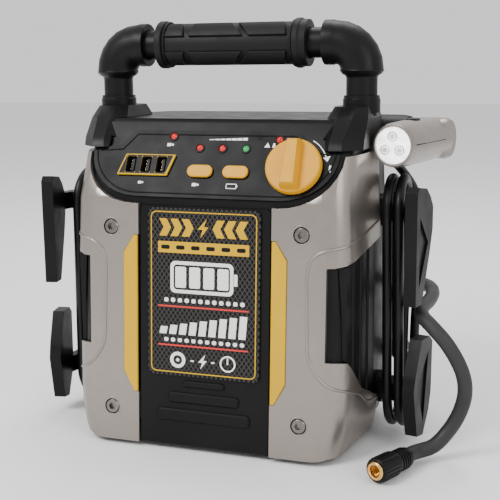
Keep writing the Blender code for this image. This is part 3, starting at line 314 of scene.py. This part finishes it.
HOSE_ROUTE = [(14, 97, 42), (2, 97, 42), (-22, 98, 45), (-40, 98, 58), (-46, 98, 78), (-38, 99, 98),
              (-18, 100, 110), (8, 101, 113), (38, 102, 113), (68, 102, 113), (94, 100, 114), (116, 92, 115),
              (133, 76, 116), (146, 60, 116), (152, 38, 116), (153, 10, 116), (152, -14, 116), (155, -30, 114),
              (164, -40, 109), (176, -43, 97), (186.5, -41, 77), (188.5, -38.5, 61), (184, -36, 43),
              (175.5, -38, 28), (167, -44, 19.5), (158.7, -49, 17.2), (153.8, -56.4, 17.4), (151.2, -63.8, 17.4)]
CABLE_D = 7.6 * MM
HOSE_D = 11 * MM

for side, label in ((-1, "left"), (1, "right")):
    route = smooth_route(cable_route(side), 5 * MM)
    cable = tube("booster_cable_%s_lead" % label, route, CABLE_D / 2, CABLE)
    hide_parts("booster_cable_" + label)
hose_points = [(x * MM, y * MM, z * MM - FLOOR_Z) for x, y, z in HOSE_ROUTE]
hose = tube("air_hose_lead", smooth_route(hose_points, 4 * MM), HOSE_D / 2, HOSE)
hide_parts("air_hose")


# Finishes on the CAD nodes
def shade(obj, bevel):
    """Merges flat facets, softens hard edges and evens out the shading.

    The CAD's own points stay where they are.
    """
    if "custom_normal" in obj.data.attributes:
        obj.data.attributes.remove(obj.data.attributes["custom_normal"])
    obj.data.shade_smooth()
    weld = obj.modifiers.new("Weld", "WELD")
    weld.merge_threshold = 0.00002
    flat = obj.modifiers.new("Flat", "DECIMATE")
    flat.decimate_type = "DISSOLVE"
    flat.angle_limit = math.radians(2.0)
    edges = obj.modifiers.new("Edges", "BEVEL")
    edges.width = bevel
    edges.segments = 2
    edges.limit_method = "ANGLE"
    edges.angle_limit = math.radians(33)
    edges.use_clamp_overlap = True
    normals = obj.modifiers.new("Normals", "WEIGHTED_NORMAL")
    normals.mode = "FACE_AREA_WITH_ANGLE"
    normals.weight = 100


SLOT_OF = {entry["node"]: entry["material_slot"] for entry in frame["record"]["subparts"]}
# How far each finish's hard edges are rounded
EDGE = {"silver_cover": 0.5 * MM, "black_plastic": 0.35 * MM, "panel_plastic": 0.3 * MM,
        "yellow_plastic": 0.3 * MM, "amber_button": 0.35 * MM, "grip_rubber": 0.5 * MM, "brass": 0.2 * MM,
        "steel_screw": 0.2 * MM}
for node, obj in NODES.items():
    obj.data.materials.clear()
    obj.data.materials.append(FINISH[SLOT_OF[node]])
    shade(obj, EDGE.get(SLOT_OF[node], 0.1 * MM))


# Frames on the object
def axes_matrix(origin, right, up):
    """A frame with X to the right, Y up the surface and Z out of it."""
    x_axis, y_axis = Vector(right).normalized(), Vector(up).normalized()
    z_axis = x_axis.cross(y_axis)
    return Matrix.Translation(Vector(origin)) @ Matrix((x_axis, y_axis, z_axis)).transposed().to_4x4()


FRONT_LEAN = math.atan(0.0625)
PANEL_LEAN = math.radians(28)
FRONT_Y = -84.1 * MM
COVER_T = 4.3 * MM
FRONT = axes_matrix((0, FRONT_Y, -FLOOR_Z), (1, 0, 0), (0, math.sin(FRONT_LEAN), math.cos(FRONT_LEAN)))
PANEL_FOOT = 199 * MM
PANEL_BASE = axes_matrix((0, FRONT_Y + PANEL_FOOT * 0.0625 + COVER_T, PANEL_FOOT - FLOOR_Z), (1, 0, 0),
                         (0, math.sin(PANEL_LEAN), math.cos(PANEL_LEAN)))


BACK_Y = 84 * MM


def back_frame(x, z):
    """A frame on the back, at a place in mm above the case's own base line."""
    return axes_matrix((x * MM, BACK_Y, z * MM - FLOOR_Z), (-1, 0, 0), (0, 0, 1))


def finish_mesh(name, bm, mat, body, bevel=0.0):
    bmesh.ops.recalc_face_normals(bm, faces=bm.faces)
    mesh = bpy.data.meshes.new(name)
    bm.to_mesh(mesh)
    bm.free()
    mesh.materials.append(mat)
    mesh.shade_smooth()
    mesh.set_sharp_from_angle(angle=math.radians(35))
    obj = bpy.data.objects.new(name, mesh)
    bpy.context.scene.collection.objects.link(obj)
    if bevel:
        mod = obj.modifiers.new("Edges", "BEVEL")
        mod.width = bevel
        mod.segments = 2
        mod.limit_method = "ANGLE"
        mod.harden_normals = True
    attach(obj, body)
    return obj


def add_prism(bm, outline, low, high, matrix):
    """One closed outline in mm, extruded between two heights in mm."""
    lower = [bm.verts.new(matrix @ Vector((u * MM, v * MM, low * MM))) for u, v in outline]
    upper = [bm.verts.new(matrix @ Vector((u * MM, v * MM, high * MM))) for u, v in outline]
    bm.faces.new(lower[::-1])
    bm.faces.new(upper)
    for k in range(len(outline)):
        j = (k + 1) % len(outline)
        bm.faces.new((lower[k], lower[j], upper[j], upper[k]))


def add_ring(bm, outer, inner, low, high, matrix):
    """A flat band between two outlines of equal length."""
    loops = []
    for outline, height in ((outer, low), (outer, high), (inner, high), (inner, low)):
        loops.append([bm.verts.new(matrix @ Vector((u * MM, v * MM, height * MM))) for u, v in outline])
    for a, b in zip(loops, loops[1:] + loops[:1]):
        for k in range(len(outer)):
            j = (k + 1) % len(outer)
            bm.faces.new((a[k], a[j], b[j], b[k]))


def prisms(name, outlines, low, high, matrix, mat, body="case", bevel=0.0):
    """Flat outlines in mm on a frame, between two heights, as one piece."""
    bm = bmesh.new()
    for outline in outlines:
        add_prism(bm, outline, low, high, matrix)
    return finish_mesh(name, bm, mat, body, bevel)


def rings(name, pairs, low, high, matrix, mat, body="case", bevel=0.0):
    """Bands between pairs of outlines, as one piece."""
    bm = bmesh.new()
    for outer, inner in pairs:
        add_ring(bm, outer, inner, low, high, matrix)
    return finish_mesh(name, bm, mat, body, bevel)


def arc(cx, cy, radius, start, end, steps):
    angles = [math.radians(start + (end - start) * k / steps) for k in range(steps + 1)]
    return [(cx + radius * math.cos(a), cy + radius * math.sin(a)) for a in angles]


def circle(cx, cy, radius, steps=28):
    return arc(cx, cy, radius, 0, 360 - 360 / steps, steps - 1)


def rounded(x0, y0, x1, y1, radius, steps=4):
    points = arc(x1 - radius, y0 + radius, radius, -90, 0, steps)
    points += arc(x1 - radius, y1 - radius, radius, 0, 90, steps)
    points += arc(x0 + radius, y1 - radius, radius, 90, 180, steps)
    points += arc(x0 + radius, y0 + radius, radius, 180, 270, steps)
    return points


def rect(x0, y0, x1, y1):
    return [(x0, y0), (x1, y0), (x1, y1), (x0, y1)]


def moved(outline, u, v, size=1.0):
    return [(u + x * size, v + y * size) for x, y in outline]


BOLT = [(-1.5, -5), (3, 0.8), (0.4, 0.8), (2, 5), (-3, -0.6), (-0.2, -0.6)]


def battery_icon(u, v, width, height, line):
    """Outline with a terminal, as (ring pairs, solid outlines)."""
    outer = rounded(u - width / 2, v - height / 2, u + width / 2, v + height / 2, height * 0.16)
    inner = rounded(u - width / 2 + line, v - height / 2 + line,
                    u + width / 2 - line, v + height / 2 - line, height * 0.1)
    cap = rect(u + width / 2 + line * 0.15, v - height * 0.18, u + width / 2 + line * 1.2, v + height * 0.18)
    return (outer, inner), cap


# Label graphics
# Printed marks stand 0.12 mm proud of the label
INK = (0.3, 0.42)
label_edge = (rounded(-41.9, 69.6, 41.9, 191.4, 4.2), rounded(-41.1, 70.4, 41.1, 190.6, 3.4))
rings("label_outline", [label_edge], *INK, FRONT, YELLOW_INK)
CHEVRON = [(0, -6.5), (6, -6.5), (9.5, 0), (6, 6.5), (0, 6.5), (3.5, 0)]
bars = [rect(-36, 160.5, 36, 169)]
for k in range(3):
    left = moved(CHEVRON, -35 + 9 * k, 179.5)
    bars += [left, [(-u, v) for u, v in left]]
bars.append(moved(BOLT, 0, 179.5, 1.45))
prisms("label_yellow_marks", bars, *INK, FRONT, YELLOW_INK)
notches = [rounded(-33.4 + 12 * k, 163.2, -26.6 + 12 * k, 166.3, 1.2) for k in range(6)]
prisms("label_bar_notches", notches, 0.42, 0.5, FRONT, HOLE)
shell_icon, terminal = battery_icon(-1, 142.5, 50, 24, 2.6)
rings("label_battery_outline", [shell_icon], *INK, FRONT, WHITE_INK)
cells = [terminal] + [rounded(-22 + 11.2 * k, 134.6, -13.4 + 11.2 * k, 150.4, 1.2) for k in range(4)]
small = [rounded(-31 + 5.5 * k, 123.4, -27.6 + 5.5 * k, 126.6, 1.2) for k in range(12)]
meter = []
for k in range(9):
    u = -35 + 7.9 * k
    height = 5.5 + 1.45 * k
    meter.append([(u, 99), (u + 5.6, 99), (u + 6.9, 99 + height), (u + 1.3, 99 + height)])
lower = [rounded(-31 + 5.5 * k, 93.2, -27.6 + 5.5 * k, 96.2, 1.2) for k in range(12)]
prisms("label_white_marks", cells + small + meter + lower, *INK, FRONT, WHITE_INK)
prisms("label_red_lines", [rect(-36, 119.6, 36, 120.8), rect(-36, 89.9, 36, 91.1)], *INK, FRONT, RED_INK)
wheel = [(circle(-20, 79.5, 6.2), circle(-20, 79.5, 3.6)), (circle(20, 79.5, 6.2), circle(20, 79.5, 5.0))]
rings("label_icon_rings", wheel, *INK, FRONT, WHITE_INK)
solids = [circle(-20, 79.5, 1.3), moved(BOLT, 0, 79.5, 1.15), rect(19.4, 79, 20.4, 84),
          rect(-9.5, 78.9, -7, 80.1), rect(7, 78.9, 9.5, 80.1)]
prisms("label_icon_solids", solids, *INK, FRONT, WHITE_INK)

# Control panel graphics
P_INK = (2.2, 2.32)


def panel_edge(grow):
    """Lower edge of the control panel, left to right, as in the CAD."""
    flat, wide, rise = 56, 99 + grow, 36
    points = []
    for k in range(13):
        angle = math.radians(90 * k / 12)
        points.append((-flat - (wide - flat) * math.cos(angle), rise * (1 - math.sin(angle)) - grow))
    return points + [(-x, v) for x, v in reversed(points)]


rim = panel_edge(-4.2) + [(91.5, 37.5), (73.5, 38.8), (63, 51.5), (-63, 51.5), (-73.5, 38.8), (-91.5, 37.5)]
rim = [PANEL_BASE @ Vector((u * MM, v * MM, 2.25 * MM)) for u, v in rim]
tube("panel_raised_line", rim, 0.55 * MM, PANEL, closed=True)
leds = ((-33, 50), (-10.5, 41), (7.5, 41), (26, 41), (51, 48.5))
bezels = [(circle(u, v, 3.9), circle(u, v, 2.75)) for u, v in leds]
rings("led_bezels", bezels, 2.2, 2.9, PANEL_BASE, PANEL, bevel=0.2 * MM)
prisms("panel_dark_dot", [circle(35.5, 50.2, 1.7)], *P_INK, PANEL_BASE, HOLE)
marks = []
for k in range(7):
    u, rise = -4 + 4.4 * k, 0.24 * k
    marks.append([(u, 47.6), (u + 3.8, 47.6), (u + 3.8, 48.3 + rise), (u, 48.1 + rise)])
marks.append([(40, 42.4), (44.4, 42.4), (42.2, 46.2)])


def plug_icon(u, v, size):
    """A plain plug mark: a block with a narrower block in front of it."""
    return [moved(s, u, v, size) for s in (rect(-4, -2, 1.2, 2), rect(1.8, -1.2, 4.6, 1.2))]


marks += plug_icon(-35, 43.2, 0.62) + plug_icon(-9.5, 11.6, 0.62) + plug_icon(-54, 12.2, 0.5)
(case_outer, case_inner), case_cap = battery_icon(19, 11.2, 8.2, 4.0, 0.55)
marks += [case_cap, [(46, 42.4), (48.4, 42.4), (47.9, 45.8), (46.5, 45.8)]]
knob_arc = arc(65, 27, 24.4, 62, 22, 8) + arc(65, 27, 23.7, 22, 62, 8)
marks += [knob_arc, [(90.6, 36.8), (85.4, 35.2), (88.8, 32.2)]]
# The switched-on sign, beside the knob
marks.append(rect(90.6, 24.2, 92.0, 29.4))
prisms("panel_white_marks", marks, *P_INK, PANEL_BASE, WHITE_INK)
rings("panel_battery_mark", [(case_outer, case_inner)], *P_INK, PANEL_BASE, WHITE_INK)

# USB port interiors
usb = PANEL_BASE @ Matrix.Translation((-51 * MM, 26 * MM, 0))
USB_PITCH = 12.4
ports, tongues, contacts = [], [], []
for u in (-USB_PITCH, 0, USB_PITCH):
    ports.append((rounded(u - 4.25, -6.55, u + 4.25, 6.55, 1.0), rounded(u - 3.7, -6.0, u + 3.7, 6.0, 0.8)))
    tongues.append(rect(u - 0.2, -4.9, u + 2.2, 4.9))
    contacts += [rect(u - 0.45, -4 + 2.2 * j, u - 0.2, -2.8 + 2.2 * j) for j in range(4)]
face = [[(-17.2, 6.6), (21.0, 6.6), (21.3, 7.5), (-16.9, 7.5)],
        [(-21.3, -7.5), (16.9, -7.5), (17.2, -6.6), (-21.0, -6.6)],
        [(-21.0, -6.6), (-16.7, -6.6), (-16.7, 6.6), (-17.2, 6.6)],
        [(16.7, -6.6), (17.2, -6.6), (21.0, 6.6), (16.7, 6.6)],
        rect(-8.1, -6.6, -4.3, 6.6), rect(4.3, -6.6, 8.1, 6.6)]
prisms("usb_black_face", face, 4.55, 4.72, usb, PANEL)
rings("usb_liners", ports, -7.3, 4.2, usb, HOLE)
prisms("usb_floors", [outer for outer, inner in ports], -7.4, -6.4, usb, HOLE)
prisms("usb_tongues", tongues, -6.4, 3.0, usb, PANEL, bevel=0.2 * MM)
prisms("usb_contacts", contacts, -5.0, 2.4, usb, BRASS)


# Lines on the covers, found on the CAD surface
def surface(node):
    mesh = NODES[node].data
    return BVHTree.FromPolygons([v.co for v in mesh.vertices], [p.vertices for p in mesh.polygons])


def on_cover(tree, side, point, out):
    """The cover's outer surface, met on the way in through a point on the right-hand side's line."""
    centre = Vector((side * 60 * MM, -25 * MM, point.z))
    outward = (Vector((side * point.x, point.y, point.z)) - centre).normalized()
    hit = tree.ray_cast(centre + outward * 0.2, -outward)[0]
    return hit + outward * out if hit else None


STEP_LINE = [(125, -5, 172), (125, -28, 168), (125, -52, 164.5), (118, -75, 161.5), (98, -84, 158.5),
             (87, -84, 152), (83.5, -84, 142), (83, -84, 120), (83, -84, 95), (83.5, -84, 82), (88, -84, 72),
             (98, -84, 62), (118, -68, 53), (125, -48, 46), (125, -28, 36), (125, -5, 33)]
for side, label in ((-1, "left"), (1, "right")):
    tree = surface("cover_" + label)
    dense = smooth_route([Vector(p) * MM for p in STEP_LINE], 2.5 * MM)
    line = [on_cover(tree, side, p, -0.2 * MM) for p in dense]
    line = [p for p in line if p]
    tube("cover_step_" + label, line, 1.15 * MM, SILVER, resolution=3)
    for k, v in enumerate((38, 178)):
        seat = [(circle(side * 75, v, 7.4), circle(side * 75, v, 6.1))]
        rings("screw_seat_%s_%d" % (label, k + 1), seat, -0.6, 0.25, FRONT, SILVER, bevel=0.25 * MM)


# Handle grip pads
GRIP_Z = 305 * MM


def add_pad(bm, left, right, start, end, inner=15.8, outer=18.4, steps=5):
    """A raised pad on the grip: x limits at both ends of a range of angles about the grip's axis."""
    loops = []
    for k in range(steps + 1):
        t = k / steps
        angle = math.radians(start + (end - start) * t)
        x0 = left[0] + (left[1] - left[0]) * t
        x1 = right[0] + (right[1] - right[0]) * t
        ring = []
        for x, r in ((x0, inner), (x0 + 0.6, outer), (x1 - 0.6, outer), (x1, inner)):
            point = Vector((x, -r * math.cos(angle), r * math.sin(angle))) * MM
            ring.append(bm.verts.new(point + Vector((0, 0, GRIP_Z))))
        loops.append(ring)
    for a, b in zip(loops, loops[1:]):
        for k in range(4):
            j = (k + 1) % 4
            bm.faces.new((a[k], a[j], b[j], b[k]))
    bm.faces.new(loops[0][::-1])
    bm.faces.new(loops[-1])


# Each pad: its left and right edge at the start and at the end of its range of angles
PAD_ROWS = (((-53, -50), (-36, -39), 20, 62), ((-33, -30), (12, 2), 20, 62), ((16, 6), (47, 44), 20, 62),
            ((-50, -53), (-39, -36), -62, -20), ((-30, -33), (2, 12), -62, -20), ((6, 16), (44, 47), -62, -20))
bm = bmesh.new()
for left, right, start, end in PAD_ROWS:
    add_pad(bm, left, right, start, end)
    add_pad(bm, left, right, start + 180, end + 180)
finish_mesh("grip_pads", bm, GRIP, "case", 0.7 * MM)
for x, label in ((-53.6, "left"), (49.6, "right")):
    ring = [Vector((x * MM, -y * MM, GRIP_Z + z * MM)) for y, z in circle(0, 0, 17.1, 40)]
    tube("grip_band_" + label, ring, 0.8 * MM, GRIP, closed=True, resolution=3)

# Torch details, on the torch's body
TORCH_YAW = math.radians(12)
TORCH_PIVOT = (146 * MM, 60 * MM, 230 * MM)
forwards = Vector((-math.sin(TORCH_YAW), -math.cos(TORCH_YAW), 0))
torch_side = axes_matrix(TORCH_PIVOT, forwards, (0, 0, 1))
for side, label in ((-1, "left"), (1, "right")):
    line = [torch_side @ Vector((u * MM, 0.6 * MM, side * (16.35 + 0.008 * u) * MM))
            for u in range(16, 80, 4)]
    tube("torch_seam_" + label, line, 0.32 * MM, HOLE, "torch", resolution=2)
torch_front = axes_matrix(TORCH_PIVOT, (math.cos(TORCH_YAW), -math.sin(TORCH_YAW), 0), (0, 0, 1))
chips = arc(0, 0, 6.6, 90, 330, 2)
rings("torch_led_rims", [(circle(x, y, 3.6), circle(x, y, 3.0)) for x, y in chips], 82.2, 83.2, torch_front,
      SILVER, "torch", 0.15 * MM)
prisms("torch_led_chips", [circle(x, y, 2.0, 16) for x, y in chips], 82.0, 83.3, torch_front, WHITE_INK,
       "torch")
rings("torch_lens_rim", [(circle(0, 0, 15.4, 40), circle(0, 0, 13.9, 40))], 81.2, 82.6, torch_front, SILVER,
      "torch", 0.3 * MM)

# Hose end: ribs on the sleeve and grip ridges on the collar
route = smooth_route(hose_points, 14 * MM)
end, nozzle = route[-1], (route[-1] - route[-2]).normalized()
across = nozzle.cross(Vector((0, 0, 1))).normalized()
hose_frame = axes_matrix(end, across, -across.cross(nozzle))
ridges = []
for k in range(20):
    angle = 2 * math.pi * k / 20
    c, s = math.cos(angle), math.sin(angle)
    ridges.append([(8.4 * c - 0.5 * s, 8.4 * s + 0.5 * c), (8.4 * c + 0.5 * s, 8.4 * s - 0.5 * c),
                   (9.25 * c + 0.35 * s, 9.25 * s - 0.35 * c), (9.25 * c - 0.35 * s, 9.25 * s + 0.35 * c)])
extras = [prisms("hose_collar_ridges", ridges, 18.5, 35.5, hose_frame, BLACK)]
bands = [(circle(0, 0, 8.1, 32), circle(0, 0, 7.3, 32))]
for k in range(4):
    low = 4.4 + 2.7 * k
    extras.append(rings("hose_sleeve_band_%d" % (k + 1), bands, low, low + 1.2, hose_frame, BLACK))
threads = [(circle(0, 0, 4.1, 24), circle(0, 0, 3.5, 24))]
for k in range(4):
    low = 29 + 2 * k
    extras.append(rings("hose_nut_thread_%d" % (k + 1), threads, low, low + 0.8, hose_frame, BRASS))

# Clamps: copper jaws with teeth, and rubber sleeves on the levers
clamp_extras = {"left": [], "right": []}
for side, label in ((-1, "left"), (1, "right")):
    place = axes_matrix((side * CLAMP_X, CLAMP_Y, CLAMP_Z), (-1, 0, 0), (0, 0, 1))
    for sign, part, body in ((1, "fixed", "case"), (-1, "moving", "clamp_%s_jaw" % label)):
        teeth = [(sign * 10.3, -27), (sign * 9.8, -24), (sign * 9.2, -8), (sign * 10.2, -8), (sign * 11.2, -28),
                 (sign * 4.4, -47), (sign * 3.4, -46.6)]
        plate = prisms("clamp_%s_%s_jaw_plate" % (label, part), [teeth], -4.5, 4.5, place, COPPER, body,
                       0.2 * MM)
        ribs = []
        for k in range(4):
            x, z = 10.5 + 1.5 * k, 17.5 + 3.5 * k
            rib = [(x - 0.2, z), (x + 1.1, z - 0.6), (x + 1.9, z + 1.6), (x + 0.5, z + 1.8)]
            ribs.append([(sign * u, v) for u, v in rib])
        sleeve = prisms("clamp_%s_%s_ribs" % (label, part), ribs, -5.4, 5.4, place, GRIP, body, 0.2 * MM)
        clamp_extras[label] += [plate, sleeve]

# Back: gauge dial, vents, switch marks
hub = back_frame(0, 176)
ticks = []
for k in range(21):
    angle = math.radians(220 - 13 * k)
    inner = 15.6 if k % 5 == 0 else 17.4
    c, s = math.cos(angle), math.sin(angle)
    w = 0.42 if k % 5 == 0 else 0.22
    ticks.append([(inner * c - w * s, inner * s + w * c), (inner * c + w * s, inner * s - w * c),
                  (19.4 * c + w * s, 19.4 * s - w * c), (19.4 * c - w * s, 19.4 * s + w * c)])
prisms("gauge_ticks", ticks, 5.0, 5.15, hub, HOLE)
rings("gauge_rim", [(circle(0, 0, 25.6, 48), circle(0, 0, 21.2, 48))], 0.4, 9.6, hub, BLACK, bevel=0.8 * MM)
vents = [rounded(-46, 118 + 7 * k, 46, 121.4 + 7 * k, 1.6) for k in range(4)]
prisms("back_vent_ribs", vents, -0.2, 1.4, back_frame(0, 0), BLACK, bevel=0.5 * MM)
prisms("rocker_mark_on", [rect(-6.3, -2, -5.6, 2)], 4.0, 4.45, back_frame(38, 62), WHITE_INK, "rocker")
rings("rocker_mark_off", [(circle(5.7, 0, 1.9, 20), circle(5.7, 0, 1.35, 20))], 3.9, 4.25, back_frame(38, 62),
      WHITE_INK, "rocker")
cap_frame = back_frame(-72, 76)
prisms("socket_cap_tab", [rounded(-4, -17.4, 4, -12.6, 1.6)], 0.9, 2.4, cap_frame, BLACK, "cap", 0.4 * MM)
cap_ring = [(circle(0, 0, 10.6, 36), circle(0, 0, 9.6, 36))]
rings("socket_cap_ring", cap_ring, 3.4, 3.9, cap_frame, BLACK, "cap", 0.2 * MM)
rings("socket_rim", [(circle(0, 0, 13.4, 36), circle(0, 0, 10.7, 36))], -0.2, 0.45, cap_frame, STEEL)

# Stage and lights
floor_mesh = bpy.data.meshes.new("floor")
floor_mesh.from_pydata([(-6, -6, 0), (6, -6, 0), (6, 6, 0), (-6, 6, 0)], [], [(0, 1, 2, 3)])
floor = bpy.data.objects.new("floor", floor_mesh)
bpy.context.scene.collection.objects.link(floor)
floor_mesh.materials.append(moulded("floor_paper", (0.86, 0.86, 0.86), (0.7, 0.8), 40.0, 0.02, 0.005))
world = bpy.data.worlds.new("studio")
world.use_nodes = True
world.node_tree.nodes["Background"].inputs[0].default_value = (1, 1, 1, 1)
world.node_tree.nodes["Background"].inputs[1].default_value = 1.0
bpy.context.scene.world = world
LAMPS = (("key", (-0.7, -1.1, 1.3), 0.7, 26), ("fill", (1.3, -0.9, 0.8), 0.8, 8),
         ("top", (0.0, 0.7, 1.5), 0.8, 12))
for name, place, size, power in LAMPS:
    lamp = bpy.data.objects.new(name, bpy.data.lights.new(name, "AREA"))
    lamp.data.size = size
    lamp.data.energy = power
    lamp.location = place
    lamp.rotation_euler = (Vector((0, 0, 0.15)) - Vector(place)).to_track_quat("-Z", "Y").to_euler()
    bpy.context.scene.collection.objects.link(lamp)

bpy.context.view_layer.update()
